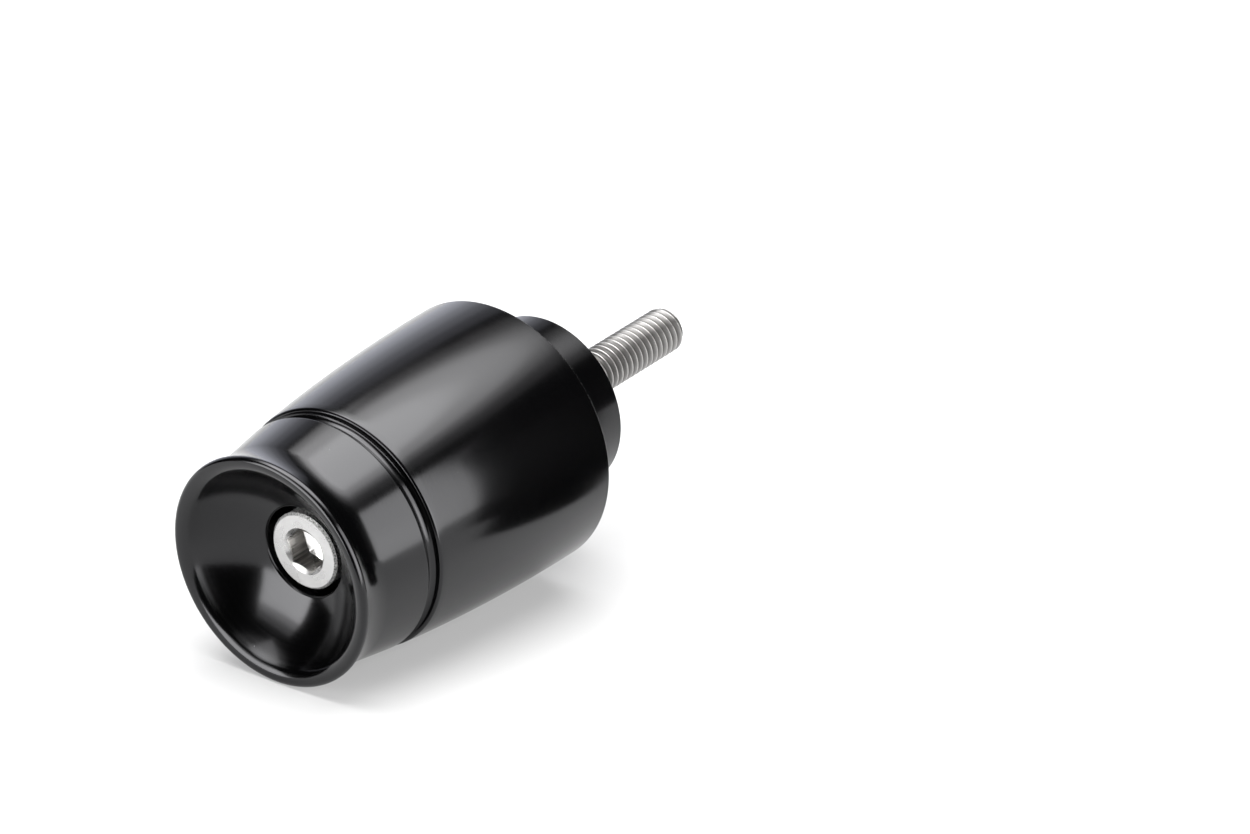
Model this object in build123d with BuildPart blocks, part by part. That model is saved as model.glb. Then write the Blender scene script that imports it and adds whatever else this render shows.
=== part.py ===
"""Bar end weight: a turned aluminium body and the socket cap screw that clamps it.

The turning axis is Y. The dished end faces -Y, the spigot and the screw's thread point
to +Y, and the origin is where the axis meets the shoulder behind the barrel.
"""

import os
from math import sqrt

from build123d import *

# Barrel, domed along its length and parallel to the axis at the shoulder
barrel_length = 30.0
barrel_front_diameter = 31.3
barrel_back_diameter = 34.8
barrel_front_chamfer = 0.3
barrel_back_chamfer = 0.2

# Groove that parts the barrel from the cap, with its floor cut into both walls at a slant
groove_width = 1.85
groove_diameter = 28.75
groove_slant = 0.55

# Cap, a cone that narrows to a neck and flares out again into the rim
cap_length = 11.55
cap_edge_diameter = 30.7
cap_edge_chamfer = 0.2
neck_diameter = 28.2
neck_from_rim = 3.2

# Rim, with a lip that rolls from the bowl over a crest to the broken outer edge
rim_diameter = 30.0
rim_thickness = 1.2
rim_front_chamfer = 0.45
rim_back_chamfer = 0.2
lip_inner_diameter = 26.1
lip_crest_diameter = 28.3
lip_round = 1.5

# Dish, a spherical bowl between the lip and the counterbore
dish_depth = 6.6
dish_edge_chamfer = 0.2

# Spigot that enters the end of the grip
spigot_diameter = 22.7
spigot_length = 10.4
spigot_chamfer = 0.4

# Socket cap screw, M6 x 65
screw_diameter = 6.0
screw_length = 65.0
thread_length = 23.5
thread_crest_diameter = 5.9
runout_length = 1.5
runout_diameter = 5.3
thread_chamfer = 0.8
head_diameter = 10.0
head_height = 6.0
head_chamfer = 0.2
socket_width = 5.0
socket_depth = 3.2
socket_turn = 15.0
socket_mouth_diameter = 6.4
socket_mouth_depth = 2.4

# Fits
head_clearance = 1.7
shank_clearance = 0.6

# Stations along the axis
barrel_front = -barrel_length
cap_edge = barrel_front - groove_width
rim_front = cap_edge - cap_length
rim_back = rim_front + rim_thickness
neck = rim_front + neck_from_rim
dish_floor = rim_front + dish_depth
head_seat = dish_floor + head_height
screw_tip = head_seat + screw_length
thread_start = screw_tip - thread_length
runout_start = thread_start - runout_length

# Radii
barrel_front_radius = barrel_front_diameter / 2
barrel_back_radius = barrel_back_diameter / 2
groove_radius = groove_diameter / 2
cap_edge_radius = cap_edge_diameter / 2
neck_radius = neck_diameter / 2
rim_radius = rim_diameter / 2
lip_inner_radius = lip_inner_diameter / 2
lip_crest_radius = lip_crest_diameter / 2
spigot_radius = spigot_diameter / 2
head_radius = head_diameter / 2
shank_radius = screw_diameter / 2
thread_crest_radius = thread_crest_diameter / 2
runout_radius = runout_diameter / 2
counterbore_radius = (head_diameter + head_clearance) / 2
hole_radius = (screw_diameter + shank_clearance) / 2


def lip_station(radius):
    """Station of the rolled lip at a radius inside its crest, which lies on the rim's front plane."""
    offset = lip_crest_radius - radius
    return rim_front + lip_round - sqrt(lip_round**2 - offset**2)


def bowl_radius(inner_edge, outer_edge):
    """Radius of the sphere through two edges of the bowl, with its centre on the axis."""
    (inner_radius, floor), (outer_radius, mouth) = inner_edge, outer_edge
    depth = floor - mouth
    centre_from_floor = (outer_radius**2 - inner_radius**2 + depth**2) / (2 * depth)
    return sqrt(inner_radius**2 + centre_from_floor**2)


def corner(profile, radius, station):
    """The profile's vertex nearest to a radius and a station."""
    return profile.vertices().sort_by_distance((radius, station))[0]


with BuildPart() as weight_body:
    with BuildSketch(Plane.XY) as body_profile:
        with BuildLine():
            lip_inner = (lip_inner_radius, lip_station(lip_inner_radius))
            lip_crest = (lip_crest_radius, rim_front)
            dish_edge = (counterbore_radius, dish_floor)
            neck_point = (neck_radius, neck)
            cone_direction = (neck_radius - cap_edge_radius, neck - cap_edge)
            RadiusArc(dish_edge, lip_inner, bowl_radius(dish_edge, lip_inner))
            TangentArc(lip_crest, lip_inner, tangent=(-1, 0))
            Polyline(lip_crest, (rim_radius, rim_front), (rim_radius, rim_back))
            TangentArc(neck_point, (rim_radius, rim_back), tangent=cone_direction)
            Polyline(
                neck_point,
                (cap_edge_radius, cap_edge),
                (groove_radius, cap_edge),
                (groove_radius, barrel_front),
                (barrel_front_radius, barrel_front),
            )
            TangentArc(
                (barrel_back_radius, 0),
                (barrel_front_radius, barrel_front),
                tangent=(0, -1),
            )
            Polyline(
                (barrel_back_radius, 0),
                (spigot_radius, 0),
                (spigot_radius, spigot_length),
                (hole_radius, spigot_length),
                (hole_radius, head_seat),
                (counterbore_radius, head_seat),
                dish_edge,
            )
        make_face()
        chamfer(corner(body_profile, *dish_edge), dish_edge_chamfer)
        chamfer(corner(body_profile, rim_radius, rim_front), rim_front_chamfer)
        chamfer(corner(body_profile, rim_radius, rim_back), rim_back_chamfer)
        chamfer(corner(body_profile, cap_edge_radius, cap_edge), cap_edge_chamfer)
        chamfer(corner(body_profile, groove_radius, cap_edge), groove_slant)
        chamfer(corner(body_profile, groove_radius, barrel_front), groove_slant)
        chamfer(corner(body_profile, barrel_front_radius, barrel_front), barrel_front_chamfer)
        chamfer(corner(body_profile, barrel_back_radius, 0), barrel_back_chamfer)
        chamfer(corner(body_profile, spigot_radius, spigot_length), spigot_chamfer)
    revolve(axis=Axis.Y)

with BuildPart() as clamp_screw:
    with BuildSketch(Plane.XY) as screw_profile:
        with BuildLine():
            Polyline(
                (0, dish_floor),
                (head_radius, dish_floor),
                (head_radius, head_seat),
                (shank_radius, head_seat),
                (shank_radius, runout_start),
                (runout_radius, runout_start),
                (runout_radius, thread_start),
                (thread_crest_radius, thread_start),
                (thread_crest_radius, screw_tip),
                (0, screw_tip),
                close=True,
            )
        make_face()
        chamfer(corner(screw_profile, head_radius, dish_floor), head_chamfer)
        chamfer(corner(screw_profile, thread_crest_radius, screw_tip), thread_chamfer)
    revolve(axis=Axis.Y)
    into_head = Plane(origin=(0, dish_floor, 0), x_dir=(1, 0, 0), z_dir=(0, 1, 0))
    with BuildSketch(into_head):
        RegularPolygon(socket_width / 2, 6, major_radius=False, rotation=socket_turn)
    extrude(amount=socket_depth, mode=Mode.SUBTRACT)
    with Locations(into_head):
        Cone(
            bottom_radius=socket_mouth_diameter / 2,
            top_radius=0,
            height=socket_mouth_depth,
            align=(Align.CENTER, Align.CENTER, Align.MIN),
            mode=Mode.SUBTRACT,
        )

os.makedirs("parts", exist_ok=True)
weight_body.part.label = "weight_body"
export_step(weight_body.part, "parts/weight_body.step")
clamp_screw.part.label = "clamp_screw"
export_step(clamp_screw.part, "parts/clamp_screw.step")
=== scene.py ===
"""Bar end weight on a pale table: a gloss black turned body and its stainless cap screw."""

from functools import partial
from math import asin, atan2, cos, pi, radians, sin, sqrt, tan, tau

import bmesh
import bpy
from mathutils import Matrix, Quaternion, Vector


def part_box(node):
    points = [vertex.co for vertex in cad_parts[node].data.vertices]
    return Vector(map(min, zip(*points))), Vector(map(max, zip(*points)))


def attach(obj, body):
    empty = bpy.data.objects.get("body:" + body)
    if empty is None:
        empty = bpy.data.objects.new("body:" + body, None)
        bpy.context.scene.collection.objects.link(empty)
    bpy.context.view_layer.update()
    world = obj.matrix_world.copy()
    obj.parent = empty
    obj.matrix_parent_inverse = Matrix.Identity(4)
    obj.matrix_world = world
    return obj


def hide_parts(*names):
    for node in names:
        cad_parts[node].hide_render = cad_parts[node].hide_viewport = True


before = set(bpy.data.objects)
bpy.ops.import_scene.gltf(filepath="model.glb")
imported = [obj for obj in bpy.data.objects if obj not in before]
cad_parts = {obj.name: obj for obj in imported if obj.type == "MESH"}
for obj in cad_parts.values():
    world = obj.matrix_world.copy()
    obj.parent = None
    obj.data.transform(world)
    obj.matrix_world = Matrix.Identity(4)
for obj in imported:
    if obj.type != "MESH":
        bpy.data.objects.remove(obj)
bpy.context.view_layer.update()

MM = 0.001

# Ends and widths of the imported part
body_low, body_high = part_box("weight_body")
screw_low, screw_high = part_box("clamp_screw")
rim_front = body_low.y
spigot_end = body_high.y
barrel_back_radius = body_high.z
head_face = screw_low.y
head_radius = screw_high.z
screw_tip = screw_high.y

# Turned outline of the body: stations along the axis, radii and edges
shoulder = 0.0
barrel_front = -30.0 * MM
barrel_front_radius = 15.62 * MM
barrel_front_chamfer = 0.24 * MM
barrel_front_break = 0.1 * MM
barrel_back_round = 0.12 * MM
groove_radius = 14.375 * MM
groove_front_round = 0.6 * MM
groove_rear_round = 0.8 * MM
cap_edge = -31.88 * MM
cap_edge_radius = 15.35 * MM
cap_edge_round = 0.25 * MM
neck = -38.3 * MM
neck_radius = 14.386 * MM
rim_radius = 14.93 * MM
rim_back = -42.62 * MM
rim_front_round = 0.6 * MM
rim_back_round = 0.1 * MM
lip_inner_radius = 12.87 * MM
lip_crest_radius = 14.3 * MM
lip_round = 1.7 * MM
dish_edge_chamfer = 0.18 * MM
counterbore_radius = 5.85 * MM
hole_radius = 3.3 * MM
head_seat = -30.8 * MM
spigot_radius = 11.35 * MM
spigot_chamfer = 0.4 * MM
edge_break = 0.05 * MM

# Steps of the body's arcs, segments of its small edges and steps of the full turn
bowl_steps = 28
lip_steps = 10
flare_steps = 16
barrel_steps = 24
rim_front_segments = 8
rim_back_segments = 5
cap_edge_segments = 6
groove_front_segments = 8
groove_rear_segments = 10
barrel_back_segments = 4
barrel_break_segments = 4
edge_break_segments = 3
chamfer_segments = 1
turn_steps = 240

# Head of the cap screw, with its knurl and its hex socket
screw_steps = 240
head_chamfer = 0.3 * MM
knurl_depth = 0.2 * MM
knurl_teeth = 60
knurl_pitch = 0.52 * MM
knurl_rows_per_pitch = 4
knurl_rows = 36
socket_apothem = 2.5 * MM
socket_depth = 3.2 * MM
socket_flat_turn = radians(15.0)
socket_flat_angle = radians(60.0)
socket_mouth_radius = 3.05 * MM
socket_mouth_depth = 2.4 * MM
socket_floor_drop = 0.9 * MM
socket_pit_radius = 0.35 * MM
socket_pit_depth = 0.2 * MM

# Shank and thread of the cap screw
shank_radius = 3.0 * MM
runout_start = 9.2 * MM
runout_radius = 2.65 * MM
thread_start = 10.7 * MM
thread_lead_in = 2
thread_crest_radius = 2.95 * MM
thread_root_radius = 2.36 * MM
thread_pitch = 1.0 * MM
thread_crest_half = 0.08 * MM
thread_root_half = 0.09 * MM
thread_round = 0.035 * MM
thread_round_segments = 2
thread_flank_cuts = 2
thread_steps = 72
tip_round = 1.2 * MM
tip_dimple_radius = 1.5 * MM
tip_dimple_depth = 0.15 * MM

# Joining and shading of meshes
merge_distance = 0.001 * MM
cut_distance = 0.0001 * MM
sharp_angle = radians(35.0)


def verts_of(geometry):
    """The vertices among the results of an operator."""
    return [item for item in geometry if isinstance(item, bmesh.types.BMVert)]


def edges_of(geometry):
    """The edges among the results of an operator."""
    return [item for item in geometry if isinstance(item, bmesh.types.BMEdge)]


def cut_to(bm, last, radius, station):
    """A straight cut of a turned outline, from its last point to a radius and a station."""
    point = bmesh.ops.extrude_vert_indiv(bm, verts=[last])["verts"][0]
    point.co = (radius, station, 0.0)
    return point


def cut_round(bm, last, centre, radius, station, steps):
    """A round cut of a turned outline about a centre, on to a radius and a station."""
    start = last.co.xy - Vector(centre)
    end = Vector((radius, station)) - Vector(centre)
    sweep = -start.angle_signed(end)
    made = bmesh.ops.spin(
        bm, geom=[last], cent=(*centre, 0.0), axis=(0, 0, 1), angle=sweep, steps=steps
    )
    return verts_of(made["geom_last"])[0]


def tangent_centre(start, direction, end):
    """Centre of the arc that leaves start along a direction and ends at end."""
    across = Vector((-direction.y, direction.x)).normalized()
    chord = end - start
    return start + across * chord.length_squared / (2 * chord.dot(across))


# Centre of the barrel's long arc, which is parallel to the axis at the shoulder
barrel_centre = tangent_centre(
    Vector((barrel_back_radius, shoulder)),
    Vector((0.0, -1.0)),
    Vector((barrel_front_radius, barrel_front)),
)


def round_points(bm, points, size, segments):
    """Rounds, or with one segment chamfers, points of an outline."""
    made = bmesh.ops.bevel(
        bm, geom=points, offset=size, offset_type="OFFSET", affect="VERTICES",
        segments=segments, profile=0.5, material=-1,
    )
    return made["verts"]


def mesh_object(bm, name, material):
    """A mesh with its material as an object of the scene."""
    mesh = bpy.data.meshes.new(name)
    bm.to_mesh(mesh)
    bm.free()
    mesh.materials.append(material)
    thing = bpy.data.objects.new(name, mesh)
    bpy.context.scene.collection.objects.link(thing)
    return thing


def make_piece(bm, name, node, material):
    """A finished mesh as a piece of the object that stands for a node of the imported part."""
    bmesh.ops.remove_doubles(bm, verts=bm.verts[:], dist=merge_distance)
    bmesh.ops.recalc_face_normals(bm, faces=bm.faces[:])
    for face in bm.faces:
        face.smooth = True
    for edge in bm.edges:
        edge.smooth = edge.calc_face_angle() < sharp_angle
    piece = mesh_object(bm, name, material)
    piece.modifiers.new("even_shading", "WEIGHTED_NORMAL").keep_sharp = True
    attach(piece, "root")
    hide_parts(node)


def turn_body(material):
    """The weight's body, turned from its outline: bowl, lip, flare, cap, groove, barrel, spigot."""
    bm = bmesh.new()
    lip_centre = (lip_crest_radius, rim_front + lip_round)
    lip_width = lip_crest_radius - lip_inner_radius
    lip_inner = rim_front + lip_round - sqrt(lip_round**2 - lip_width**2)
    bowl_depth = head_face - lip_inner
    bowl_span = lip_inner_radius**2 - counterbore_radius**2 + bowl_depth**2
    bowl_centre = (0.0, head_face - bowl_span / (2 * bowl_depth))
    neck_point = Vector((neck_radius, neck))
    cone = neck_point - Vector((cap_edge_radius, cap_edge))
    flare_centre = tangent_centre(neck_point, cone, Vector((rim_radius, rim_back)))

    dish_edge = bm.verts.new((counterbore_radius, head_face, 0.0))
    lip_edge = cut_round(bm, dish_edge, bowl_centre, lip_inner_radius, lip_inner, bowl_steps)
    lip_crest = cut_round(bm, lip_edge, lip_centre, lip_crest_radius, rim_front, lip_steps)
    rim_edge = cut_to(bm, lip_crest, rim_radius, rim_front)
    rim_rear = cut_to(bm, rim_edge, rim_radius, rim_back)
    flare_end = cut_round(bm, rim_rear, flare_centre, neck_radius, neck, flare_steps)
    cap_corner = cut_to(bm, flare_end, cap_edge_radius, cap_edge)
    groove_front = cut_to(bm, cap_corner, groove_radius, cap_edge)
    groove_rear = cut_to(bm, groove_front, groove_radius, barrel_front)
    barrel_corner = cut_to(bm, groove_rear, barrel_front_radius, barrel_front)
    barrel_rear = cut_round(
        bm, barrel_corner, barrel_centre, barrel_back_radius, shoulder, barrel_steps
    )
    spigot_root = cut_to(bm, barrel_rear, spigot_radius, shoulder)
    spigot_corner = cut_to(bm, spigot_root, spigot_radius, spigot_end)
    hole_mouth = cut_to(bm, spigot_corner, hole_radius, spigot_end)
    hole_end = cut_to(bm, hole_mouth, hole_radius, head_seat)
    counterbore_floor = cut_to(bm, hole_end, counterbore_radius, head_seat)
    bm.edges.new((counterbore_floor, dish_edge))

    round_points(bm, [rim_edge], rim_front_round, rim_front_segments)
    round_points(bm, [rim_rear], rim_back_round, rim_back_segments)
    round_points(bm, [cap_corner], cap_edge_round, cap_edge_segments)
    round_points(bm, [groove_front], groove_front_round, groove_front_segments)
    round_points(bm, [groove_rear], groove_rear_round, groove_rear_segments)
    round_points(bm, [barrel_rear], barrel_back_round, barrel_back_segments)
    barrel_ends = round_points(bm, [barrel_corner], barrel_front_chamfer, chamfer_segments)
    round_points(bm, barrel_ends, barrel_front_break, barrel_break_segments)
    ends = round_points(bm, [spigot_corner], spigot_chamfer, chamfer_segments)
    ends += round_points(bm, [dish_edge], dish_edge_chamfer, chamfer_segments)
    round_points(bm, ends + [spigot_root, hole_mouth], edge_break, edge_break_segments)

    bmesh.ops.spin(
        bm, geom=bm.verts[:] + bm.edges[:], cent=(0, 0, 0), axis=(0, 1, 0),
        angle=tau, steps=turn_steps, use_merge=True,
    )
    make_piece(bm, "weight_body_turned", "weight_body", material)


def socket_radius(angle):
    """Radius of the hex socket's wall at an angle about the screw's axis."""
    half_flat = socket_flat_angle / 2
    from_flat = (angle - socket_flat_turn + half_flat) % socket_flat_angle - half_flat
    return socket_apothem / cos(from_flat)


def socket_rim(angle):
    """Station where the socket's wall runs out into its round countersunk mouth."""
    slope = socket_mouth_depth / socket_mouth_radius
    return head_face + (socket_mouth_radius - socket_radius(angle)) * slope


def knurl_radius(station, angle):
    """Radius of the diamond knurl on the head's side, cut by two sets of slanting grooves."""
    around = angle * knurl_teeth / tau
    along = station / knurl_pitch
    from_grooves = (abs(2.0 * ((around + slant * along) % 1.0) - 1.0) for slant in (-1.0, 1.0))
    return head_radius - knurl_depth * (1.0 - min(from_grooves))


def next_ring(bm, ring, radius_at, station_at):
    """Extrudes the screw's last ring to a new one; a size is a number or depends on the angle."""
    made = bmesh.ops.extrude_edge_only(bm, edges=ring)["geom"]
    for vert in verts_of(made):
        angle = atan2(vert.co.z, vert.co.x)
        radius = radius_at(angle) if callable(radius_at) else radius_at
        station = station_at(angle) if callable(station_at) else station_at
        vert.co = (radius * cos(angle), station, radius * sin(angle))
    return edges_of(made)


def close_ring(bm, ring, station):
    """Closes a ring with a fan that meets the axis at a station."""
    made = bmesh.ops.extrude_edge_only(bm, edges=ring)["geom"]
    bmesh.ops.pointmerge(bm, verts=verts_of(made), merge_co=(0.0, station, 0.0))


def draw_thread(bm):
    """The thread's outline, pitch after pitch, from before the thread's start to past its tip."""
    first_root = thread_start - thread_lead_in * thread_pitch
    crest = first_root + thread_pitch / 2
    next_root = first_root + thread_pitch
    first = bm.verts.new((thread_root_radius, first_root, 0.0))
    root_end = cut_to(bm, first, thread_root_radius, first_root + thread_root_half)
    crest_start = cut_to(bm, root_end, thread_crest_radius, crest - thread_crest_half)
    crest_end = cut_to(bm, crest_start, thread_crest_radius, crest + thread_crest_half)
    root_start = cut_to(bm, crest_end, thread_root_radius, next_root - thread_root_half)
    cut_to(bm, root_start, thread_root_radius, next_root)
    corners = [root_end, crest_start, crest_end, root_start]
    round_points(bm, corners, thread_round, thread_round_segments)
    flanks = [edge for edge in bm.edges if edge.calc_length() > thread_pitch / 4]
    bmesh.ops.subdivide_edges(bm, edges=flanks, cuts=thread_flank_cuts)

    one_pitch = bm.verts[:] + bm.edges[:]
    for turn in range(1, int((screw_tip - first_root) / thread_pitch) + 1):
        copy = bmesh.ops.duplicate(bm, geom=one_pitch)["geom"]
        bmesh.ops.translate(bm, verts=verts_of(copy), vec=(0.0, turn * thread_pitch, 0.0))
    bmesh.ops.remove_doubles(bm, verts=bm.verts[:], dist=merge_distance)


def roll_thread(bm):
    """The thread, turned once as it moves on by one pitch; gives its rings at start and tip."""
    draw_thread(bm)
    bmesh.ops.spin(
        bm, geom=bm.verts[:] + bm.edges[:], cent=(0, 0, 0), axis=(0, 1, 0),
        dvec=(0.0, thread_pitch / thread_steps, 0.0), angle=tau, steps=thread_steps,
    )
    bmesh.ops.remove_doubles(bm, verts=bm.verts[:], dist=merge_distance)

    # The crests grow out of the run-out at 45 degrees and stay inside the rounded tip
    tip_radius = thread_crest_radius - tip_round
    for vert in bm.verts:
        radius = vert.co.xz.length
        into_tip = min(max(vert.co.y - screw_tip + tip_round, 0.0), tip_round)
        at_tip = tip_radius + sqrt(tip_round**2 - into_tip**2)
        at_start = runout_radius + max(vert.co.y - thread_start, 0.0)
        limit = min(at_tip, at_start)
        if radius > limit:
            vert.co.x *= limit / radius
            vert.co.z *= limit / radius

    rings = []
    for station, side in ((thread_start, -1.0), (screw_tip, 1.0)):
        cut = bmesh.ops.bisect_plane(
            bm, geom=bm.verts[:] + bm.edges[:] + bm.faces[:], dist=cut_distance,
            plane_co=(0.0, station, 0.0), plane_no=(0.0, side, 0.0), clear_outer=True,
        )
        rings.append(edges_of(cut["geom_cut"]))
    return rings


def make_screw(material):
    """The cap screw as one closed skin: socket, knurled head, shank, run-out, thread and tip."""
    bm = bmesh.new()
    start_ring, tip_ring = roll_thread(bm)
    tip_inner = next_ring(bm, tip_ring, tip_dimple_radius, screw_tip)
    close_ring(bm, tip_inner, screw_tip - tip_dimple_depth)

    floor_edge = head_face + socket_depth
    floor_middle = floor_edge + socket_floor_drop
    across_axis = Matrix.Rotation(pi / 2, 4, "X")
    bmesh.ops.create_circle(
        bm, segments=screw_steps, radius=socket_pit_radius,
        matrix=Matrix.Translation((0.0, floor_middle, 0.0)) @ across_axis,
    )
    pit = [edge for edge in bm.edges if edge.is_wire]
    close_ring(bm, pit, floor_middle + socket_pit_depth)
    ring = next_ring(bm, pit, socket_radius, floor_edge)
    ring = next_ring(bm, ring, socket_radius, socket_rim)
    ring = next_ring(bm, ring, socket_mouth_radius, head_face)
    ring = next_ring(bm, ring, head_radius - head_chamfer, head_face)
    ring = next_ring(bm, ring, head_radius, head_face + head_chamfer)
    for row in range(1, knurl_rows + 1):
        station = head_face + head_chamfer + row * knurl_pitch / knurl_rows_per_pitch
        ring = next_ring(bm, ring, partial(knurl_radius, station), station)
    ring = next_ring(bm, ring, head_radius - knurl_depth, head_seat - head_chamfer)
    ring = next_ring(bm, ring, head_radius - knurl_depth - head_chamfer, head_seat)
    ring = next_ring(bm, ring, shank_radius, head_seat)
    ring = next_ring(bm, ring, shank_radius, runout_start)
    ring = next_ring(bm, ring, runout_radius, runout_start + (shank_radius - runout_radius))
    ring = next_ring(bm, ring, runout_radius, thread_start - edge_break)
    bmesh.ops.bridge_loops(bm, edges=ring + start_ring)
    make_piece(bm, "clamp_screw_threaded", "clamp_screw", material)


# Black anodising, with turning lines, faint clouds in its gloss and specks of dust
anodised_colour = (0.0005, 0.0005, 0.0006)
anodised_ior = 1.45
anodised_tint = (0.97, 0.97, 1.0)
anodised_roughness = (0.12, 0.15)
anodised_cloud_scale = 90.0
anodised_cloud_detail = 3.0
anodised_cloud_range = (0.35, 0.65)
anodised_line_scale = 5200.0
anodised_line_roughness = 0.05
anodised_line_strength = 0.12
anodised_line_depth = 0.004 * MM
dust_colour = (0.07, 0.07, 0.073)
dust_scale = 260.0
dust_edge = 0.022
dust_middle = 0.012

# Stainless steel: pairs of colours run from dark to light; the knurl's speckles paint glints and
# shade, the socket's walls and the thread's roots are painted shade and the socket's floor a
# painted highlight.
# The knurl, the thread and the socket's floor differ from the face in roughness by these amounts
steel_face_colours = ((0.5, 0.497, 0.493), (0.6, 0.597, 0.593))
# painted glints and shade: the knurl's speckles run from near black to light steel, where its
# facets would catch light or lie in shadow
steel_knurl_glint_colours = ((0.05, 0.05, 0.05), (0.7, 0.7, 0.69))
# painted shade: the socket's walls are darker than the face, with real broaching streaks in them
steel_wall_shade_colours = ((0.12, 0.117, 0.112), (0.4, 0.39, 0.375))
# painted shade: the thread darkens from its crests down into its roots
steel_thread_shade_colours = ((0.14, 0.137, 0.133), (0.4, 0.393, 0.386))
# painted highlight: the socket's floor is far lighter than the face, as if lit
steel_floor_highlight_colour = (0.93, 0.92, 0.91)
steel_roughness = (0.24, 0.34)
knurl_rougher = 0.35
thread_rougher = 0.22
floor_rougher = -0.14
steel_cloud_scale = 420.0
steel_cloud_detail = 4.0
steel_line_scale = 7000.0
steel_line_strength = 0.2
steel_line_depth = 0.006 * MM
wall_streak_scale = 3200.0
wall_streak_detail = 3.0
wall_streak_stretch = (1.0, 0.06, 1.0)
# size and detail of the speckles that paint glints and shade on the knurl
knurl_glint_scale = 5200.0
knurl_glint_detail = 2.0

# Where one finish of the screw, or its painted shade, glints and highlight, runs into the next
bore_fade = 0.1 * MM
wall_start_below_face = 0.1 * MM
wall_full_below_face = 0.6 * MM
floor_start_above = 0.1 * MM
floor_full_above = 0.02 * MM
side_fade = 0.03 * MM

# Nodes: the usual range of noise, the turning lines' detail and their spacing on faces, and the
# places of the colour sockets on a Mix node
noise_range = (0.3, 0.7)
line_detail = 3.0
line_share_of_radius = 2.2
mix_first_colour = 6
mix_second_colour = 7
mix_result_colour = 2


class Finish:
    """A node material, and the nodes that the finishes of turned pieces are made of."""

    def __init__(self, name):
        self.material = bpy.data.materials.new(name)
        self.material.use_nodes = True
        self.nodes = self.material.node_tree.nodes
        self.links = self.material.node_tree.links
        self.shader = self.nodes["Principled BSDF"]

    def set_plain(self, socket, value):
        """Sets a value of the shader that is the same all over."""
        self.shader.inputs[socket].default_value = value

    def feed(self, socket, source):
        """Gives the shader a value that changes over the piece."""
        self.links.new(source, self.shader.inputs[socket])

    def add(self, kind, **settings):
        """A new node with its settings."""
        node = self.nodes.new("ShaderNode" + kind)
        for setting, value in settings.items():
            setattr(node, setting, value)
        return node

    def stretch(self, place, factors):
        """A place with each of its coordinates multiplied."""
        product = self.add("VectorMath", operation="MULTIPLY")
        product.inputs[1].default_value = factors
        self.links.new(place, product.inputs[0])
        return product.outputs["Vector"]

    def turned_place(self):
        """Where a point lies on a turned piece: place, station along the axis and radius."""
        place = self.add("TexCoord").outputs["Object"]
        parts = self.add("SeparateXYZ")
        self.links.new(place, parts.inputs["Vector"])
        length = self.add("VectorMath", operation="LENGTH")
        self.links.new(self.stretch(place, (1.0, 0.0, 1.0)), length.inputs[0])
        return place, parts.outputs["Y"], length.outputs["Value"]

    def spread(self, source, low, high, to_low, to_high):
        """Carries a value from one range to another and holds it at the ends."""
        reach = self.add("MapRange")
        reach.inputs["From Min"].default_value = low
        reach.inputs["From Max"].default_value = high
        reach.inputs["To Min"].default_value = to_low
        reach.inputs["To Max"].default_value = to_high
        self.links.new(source, reach.inputs["Value"])
        return reach.outputs["Result"]

    def mask(self, source, start, full):
        """A mask that grows from 0, where a value is at its start, to 1, where it is at full."""
        return self.spread(source, start, full, 0.0, 1.0)

    def combine(self, operation, first, second):
        """Two values put together by a sum or a product."""
        node = self.add("Math", operation=operation)
        self.links.new(first, node.inputs[0])
        self.links.new(second, node.inputs[1])
        return node.outputs["Value"]

    def grain(self, place, scale, detail):
        """Cloudy noise over the piece."""
        noise = self.add("TexNoise")
        noise.inputs["Scale"].default_value = scale
        noise.inputs["Detail"].default_value = detail
        self.links.new(place, noise.inputs["Vector"])
        return noise.outputs["Fac"]

    def turning_lines(self, station, radius, scale):
        """Fine rings left by the turning tool, which run on over faces and flanks."""
        path = self.add("Math", operation="MULTIPLY_ADD")
        path.inputs[1].default_value = line_share_of_radius
        self.links.new(radius, path.inputs[0])
        self.links.new(station, path.inputs[2])
        lines = self.add("TexNoise", noise_dimensions="1D")
        lines.inputs["Scale"].default_value = scale
        lines.inputs["Detail"].default_value = line_detail
        self.links.new(path.outputs["Value"], lines.inputs["W"])
        return lines.outputs["Fac"]

    def blend(self, amount, low, high):
        """A colour between two, where each is a plain colour or the result of another blend."""
        mix = self.add("Mix", data_type="RGBA")
        self.links.new(amount, mix.inputs["Factor"])
        for place, colour in ((mix_first_colour, low), (mix_second_colour, high)):
            if isinstance(colour, tuple):
                mix.inputs[place].default_value = (*colour, 1.0)
            else:
                self.links.new(colour, mix.inputs[place])
        return mix.outputs[mix_result_colour]

    def raise_bump(self, height, strength, depth):
        """Fine relief in the shading."""
        bump = self.add("Bump")
        bump.inputs["Strength"].default_value = strength
        bump.inputs["Distance"].default_value = depth
        self.links.new(height, bump.inputs["Height"])
        self.feed("Normal", bump.outputs["Normal"])


def black_anodising():
    """Gloss black anodising over a fine turned surface, with a few specks of dust."""
    finish = Finish("black_anodising")
    place, station, radius = finish.turned_place()
    lines = finish.turning_lines(station, radius, anodised_line_scale)
    clouds = finish.grain(place, anodised_cloud_scale, anodised_cloud_detail)

    dust = finish.add("TexVoronoi")
    dust.inputs["Scale"].default_value = dust_scale
    finish.links.new(place, dust.inputs["Vector"])
    specks = finish.mask(dust.outputs["Distance"], dust_edge, dust_middle)
    finish.feed("Base Color", finish.blend(specks, anodised_colour, dust_colour))

    finish.set_plain("IOR", anodised_ior)
    finish.set_plain("Specular Tint", (*anodised_tint, 1.0))
    cloudy = finish.spread(clouds, *anodised_cloud_range, *anodised_roughness)
    lined = finish.spread(lines, *noise_range, 0.0, anodised_line_roughness)
    finish.feed("Roughness", finish.combine("ADD", cloudy, lined))
    finish.raise_bump(lines, anodised_line_strength, anodised_line_depth)
    return finish.material


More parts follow.
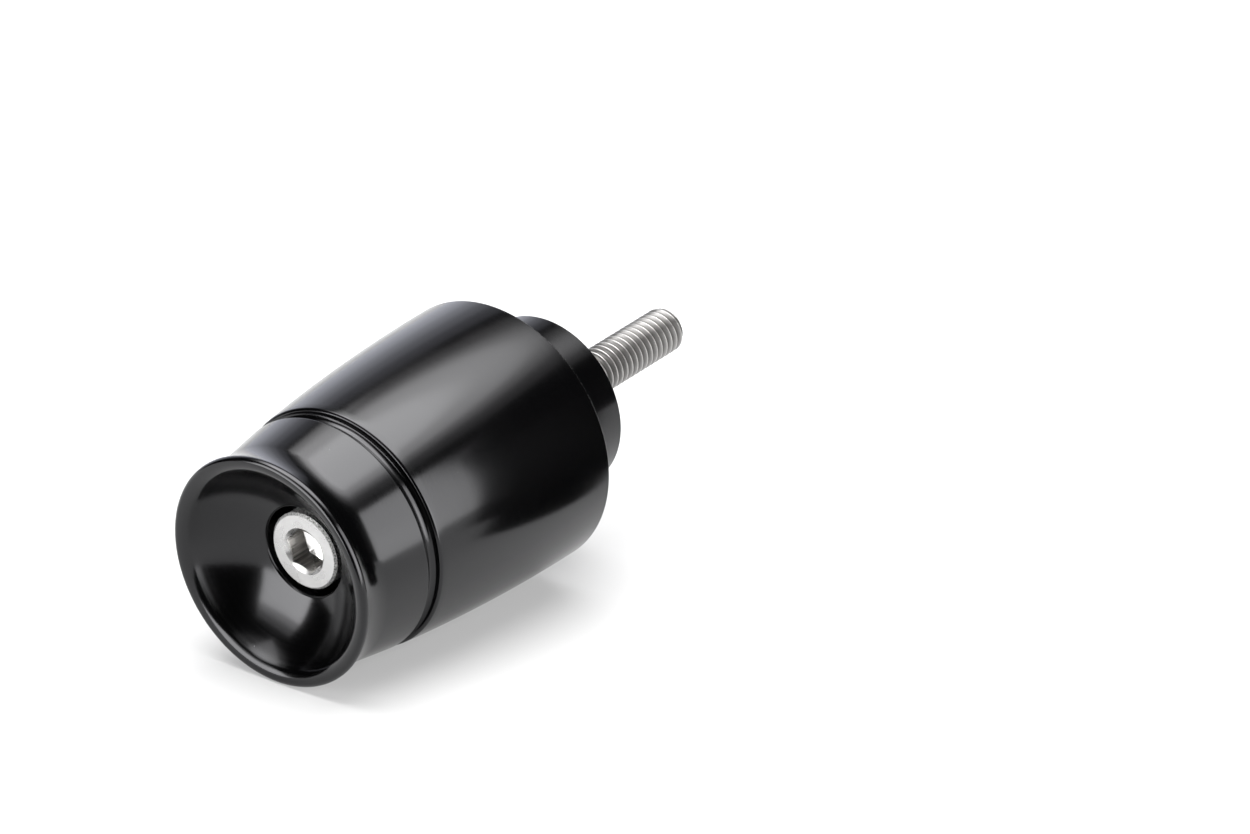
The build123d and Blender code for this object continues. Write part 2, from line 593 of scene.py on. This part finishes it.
def bright_stainless():
    """Stainless steel: turned face, rough knurl with painted glints, broached socket with painted
    shade on its walls and a painted highlight on its floor, rolled thread with painted shade in its
    roots.
    """
    finish = Finish("bright_stainless")
    place, station, radius = finish.turned_place()
    lines = finish.turning_lines(station, radius, steel_line_scale)
    drawn_out = finish.stretch(place, wall_streak_stretch)
    streaks = finish.grain(drawn_out, wall_streak_scale, wall_streak_detail)
    clouds = finish.grain(place, steel_cloud_scale, steel_cloud_detail)
    specks = finish.grain(place, knurl_glint_scale, knurl_glint_detail)

    bore_edge = socket_mouth_radius - bore_fade
    wall_start = head_face + wall_start_below_face
    wall_full = head_face + wall_full_below_face
    floor_start = head_face + socket_depth - floor_start_above
    floor_full = head_face + socket_depth - floor_full_above
    side_edge = head_radius - head_chamfer
    in_thread = finish.mask(station, runout_start, thread_start)
    up_flank = finish.mask(radius, thread_root_radius, thread_crest_radius)
    in_bore = finish.mask(radius, socket_mouth_radius, bore_edge)
    on_wall = finish.combine("MULTIPLY", in_bore, finish.mask(station, wall_start, wall_full))
    on_floor = finish.combine("MULTIPLY", in_bore, finish.mask(station, floor_start, floor_full))
    on_side = finish.mask(radius, side_edge - side_fade, side_edge + side_fade)

    face = finish.blend(finish.mask(clouds, *noise_range), *steel_face_colours)
    # the knurl's speckled colour is painted glints and shade on its facets
    side = finish.blend(finish.mask(specks, *noise_range), *steel_knurl_glint_colours)
    # painted shade on the socket's walls, streaked like broaching marks
    wall = finish.blend(finish.mask(streaks, *noise_range), *steel_wall_shade_colours)
    # painted shade in the thread's roots, lighter towards its crests
    thread = finish.blend(up_flank, *steel_thread_shade_colours)
    # painted highlight on the socket's floor, over the shaded walls
    socket = finish.blend(on_floor, wall, steel_floor_highlight_colour)
    head = finish.blend(on_wall, finish.blend(on_side, face, side), socket)
    finish.feed("Base Color", finish.blend(in_thread, head, thread))

    finish.set_plain("Metallic", 1.0)
    roughness = finish.spread(clouds, *noise_range, *steel_roughness)
    for area, rougher in (
        (on_side, knurl_rougher), (in_thread, thread_rougher), (on_floor, floor_rougher)
    ):
        more = finish.spread(area, 0.0, 1.0, 0.0, rougher)
        roughness = finish.combine("ADD", roughness, more)
    finish.feed("Roughness", roughness)
    finish.raise_bump(lines, steel_line_strength, steel_line_depth)
    return finish.material


# Studio: the level line of sight, the level direction to its right and the middle of the lights
sight = Vector((-0.651, 0.759, 0.0))
sight_right = Vector((0.759, 0.651, 0.0))
upwards = Vector((0.0, 0.0, 1.0))
sight_turn = atan2(sight_right.y, sight_right.x)
studio_centre = Vector((0.0, -0.015, 0.0))

# Table, which touches the rim and the barrel's domed side
table_size = 1.0
table_before = 0.118
table_albedo = 0.345
table_roughness = 0.9
table_glow = 0.3
rim_foot = Vector((rim_radius, (rim_front + rim_back) / 2))
foot_to_centre = barrel_centre - rim_foot
dome_radius = barrel_back_radius - barrel_centre.x
dome_angle = asin(dome_radius / foot_to_centre.length)
table_tilt = dome_angle - atan2(-foot_to_centre.x, foot_to_centre.y)
table_drop = rim_foot.x + (shoulder - rim_foot.y) * tan(table_tilt)
table_place = Matrix.Translation((0.0, shoulder, -table_drop))
table_frame = table_place @ Matrix.Rotation(-table_tilt, 4, "X")

# Black tube on a narrower foot, on the table beside the barrel
flag_place = Vector((0.045, 0.014, 0.0))
flag_foot_radius = 0.013
flag_foot_height = 0.0104
flag_low_radius = 0.0174
flag_top_radius = 0.0148
flag_height = 0.0434
flag_sides = 48
flag_albedo = 0.002

# Colours of the lights: the backdrop is a little cooler than the soft boxes
plain_white = (1.0, 1.0, 1.0)
cool_white = (0.88, 0.9, 1.0)

# Lights that overlap stand one behind the other and add up, so that their edges fade.
# Standing lights: name, shape, angle to the right of the line of sight, angle above the horizon,
# width and height in degrees, radiance, distance in metres
side_lights = (
    ("left_softbox", "RECTANGLE", -122.5, 6.0, 49.0, 46.0, 4.6, 0.7),
    ("left_middle", "RECTANGLE", -122.5, 6.0, 48.0, 58.0, 1.9, 0.71),
    ("left_spill", "RECTANGLE", -122.5, 6.0, 47.0, 71.0, 1.3, 0.72),
    ("right_softbox", "RECTANGLE", 129.0, 8.5, 62.0, 65.0, 4.9, 0.7),
    ("right_core", "ELLIPSE", 126.0, 8.0, 30.0, 36.0, 2.9, 0.72),
)
backdrop_lights = (
    ("backdrop_low", "RECTANGLE", -20.0, 0.5, 70.0, 25.0, 0.27, 0.7),
    ("backdrop_middle", "RECTANGLE", -20.0, 4.5, 70.0, 33.0, 0.36, 0.71),
    ("backdrop_high", "RECTANGLE", -18.0, 8.5, 72.0, 41.0, 0.4, 0.72),
    ("backdrop_top", "RECTANGLE", -15.0, 12.5, 75.0, 49.0, 0.45, 0.73),
)

# Level lights overhead: name, shape, place ahead along the line of sight and to its right, width
# and depth, these four as shares of the height, then radiance and height in metres
overhead_lights = (
    ("top_middle", "ELLIPSE", 0.17, 0.08, 1.19, 0.9, 3.4, 0.7),
    ("top_softbox", "ELLIPSE", 0.23, 0.1, 1.49, 1.2, 3.1, 0.71),
    ("top_edge", "ELLIPSE", 0.25, 0.11, 1.71, 1.38, 1.4, 0.72),
    ("top_spill", "ELLIPSE", 0.25, 0.11, 2.1, 1.8, 0.5, 0.74),
    ("top_left", "RECTANGLE", 0.035, -0.5, 0.56, 0.73, 2.5, 0.73),
    ("top_corner", "RECTANGLE", 0.83, -0.2, 0.3, 0.5, 1.8, 0.75),
)

# Room: what reflections see of it, and how bright it is to the camera
room_colour = (0.003, 0.003, 0.003)
beyond_colour = (1.0, 1.0, 1.0)
beyond_strength = 1.2


def lay_table():
    """The pale table top, which glows a little, with its sides along the line of sight."""
    bm = bmesh.new()
    square_to_sight = Matrix.Rotation(sight_turn, 4, "Z")
    pushed_back = Matrix.Translation((0.0, table_size / 2 - table_before, 0.0))
    bmesh.ops.create_grid(
        bm, x_segments=1, y_segments=1, size=table_size / 2,
        matrix=table_frame @ square_to_sight @ pushed_back,
    )
    finish = Finish("matt_white_table")
    finish.set_plain("Base Color", (table_albedo, table_albedo, table_albedo, 1.0))
    finish.set_plain("Roughness", table_roughness)
    finish.set_plain("Specular IOR Level", 0.0)
    finish.set_plain("Emission Color", (1.0, 1.0, 1.0, 1.0))
    finish.set_plain("Emission Strength", table_glow)
    table = mesh_object(bm, "table_top", finish.material)


def stand_flag():
    """The black tube, which shows only in reflections and keeps the barrel's flank dark."""
    bm = bmesh.new()
    flag_top = flag_foot_height + flag_height
    for low_radius, top_radius, low, high in (
        (flag_foot_radius, flag_foot_radius, 0.0, flag_foot_height),
        (flag_low_radius, flag_top_radius, flag_foot_height, flag_top),
    ):
        middle = flag_place + upwards * (low + high) / 2
        bmesh.ops.create_cone(
            bm, cap_ends=True, segments=flag_sides, radius1=low_radius, radius2=top_radius,
            depth=high - low, matrix=table_frame @ Matrix.Translation(middle),
        )
    finish = Finish("black_velvet")
    finish.set_plain("Base Color", (flag_albedo, flag_albedo, flag_albedo, 1.0))
    finish.set_plain("Specular IOR Level", 0.0)
    flag = mesh_object(bm, "black_flag", finish.material)
    flag.visible_camera = False
    flag.visible_diffuse = False
    flag.visible_shadow = False


def soft_light(name, shape, place, rotation, wide, high, radiance, colour):
    """An area light of a given brightness that shows in reflections but not to the camera."""
    light = bpy.data.lights.new(name, "AREA")
    light.shape = shape
    light.size = wide
    light.size_y = high
    area = wide * high * (pi / 4 if shape == "ELLIPSE" else 1.0)
    light.energy = radiance * pi * area
    light.color = colour
    lamp = bpy.data.objects.new(name, light)
    lamp.location = place
    lamp.rotation_mode = "QUATERNION"
    lamp.rotation_quaternion = rotation
    lamp.visible_camera = False
    bpy.context.scene.collection.objects.link(lamp)


def standing_light(name, shape, azimuth, elevation, wide, high, radiance, distance, colour):
    """A soft light that faces the part from a direction, with its size in degrees."""
    turn = radians(azimuth)
    lift = radians(elevation)
    level = sight * cos(turn) + sight_right * sin(turn)
    direction = level * cos(lift) + upwards * sin(lift)
    place = studio_centre + direction * distance
    facing = (-direction).to_track_quat("-Z", "Y")
    width = 2 * distance * tan(radians(wide / 2))
    height = 2 * distance * tan(radians(high / 2))
    soft_light(name, shape, place, facing, width, height, radiance, colour)


def overhead_light(name, shape, ahead, aside, wide, deep, radiance, height, colour):
    """A level soft light above the part, with its place and size as shares of its height."""
    place = studio_centre + (sight * ahead + sight_right * aside + upwards) * height
    level = Quaternion(upwards, sight_turn)
    soft_light(name, shape, place, level, wide * height, deep * height, radiance, colour)


def light_studio():
    """Soft lights at both sides and overhead, and a faint cool backdrop behind the part."""
    for light in side_lights:
        standing_light(*light, plain_white)
    for light in overhead_lights:
        overhead_light(*light, plain_white)
    for light in backdrop_lights:
        standing_light(*light, cool_white)


def paint_room():
    """A room that is dark to reflections and white to the camera."""
    world = bpy.data.worlds.new("studio")
    world.use_nodes = True
    nodes = world.node_tree.nodes
    links = world.node_tree.links
    room = nodes["Background"]
    room.inputs["Color"].default_value = (*room_colour, 1.0)
    beyond = nodes.new("ShaderNodeBackground")
    beyond.inputs["Color"].default_value = (*beyond_colour, 1.0)
    beyond.inputs["Strength"].default_value = beyond_strength
    path = nodes.new("ShaderNodeLightPath")
    choose = nodes.new("ShaderNodeMixShader")
    links.new(path.outputs["Is Camera Ray"], choose.inputs["Fac"])
    links.new(room.outputs["Background"], choose.inputs[1])
    links.new(beyond.outputs["Background"], choose.inputs[2])
    links.new(choose.outputs["Shader"], nodes["World Output"].inputs["Surface"])
    bpy.context.scene.world = world


# Camera, at the photograph's place
camera_place = Vector((0.47879, -0.55846, 0.38122))
camera_aim = Vector((0.01066, 0.01171, 0.0))
camera_roll = radians(-2.881)
camera_lens = 194.17
camera_sensor_width = 36.0
camera_reach = 10.0


def set_camera():
    """The camera, aimed at the part with a slight roll."""
    data = bpy.data.cameras.new("camera")
    data.lens = camera_lens
    data.sensor_width = camera_sensor_width
    data.sensor_fit = "HORIZONTAL"
    data.clip_end = camera_reach
    camera = bpy.data.objects.new("camera", data)
    camera.location = camera_place
    camera.rotation_mode = "QUATERNION"
    aim = (camera_aim - camera_place).to_track_quat("-Z", "Y")
    camera.rotation_quaternion = aim @ Quaternion((0, 0, 1), camera_roll)
    bpy.context.scene.collection.objects.link(camera)
    bpy.context.scene.camera = camera


turn_body(black_anodising())
make_screw(bright_stainless())
lay_table()
light_studio()
paint_room()
stand_flag()
set_camera()
bpy.context.scene.view_settings.view_transform = "Standard"
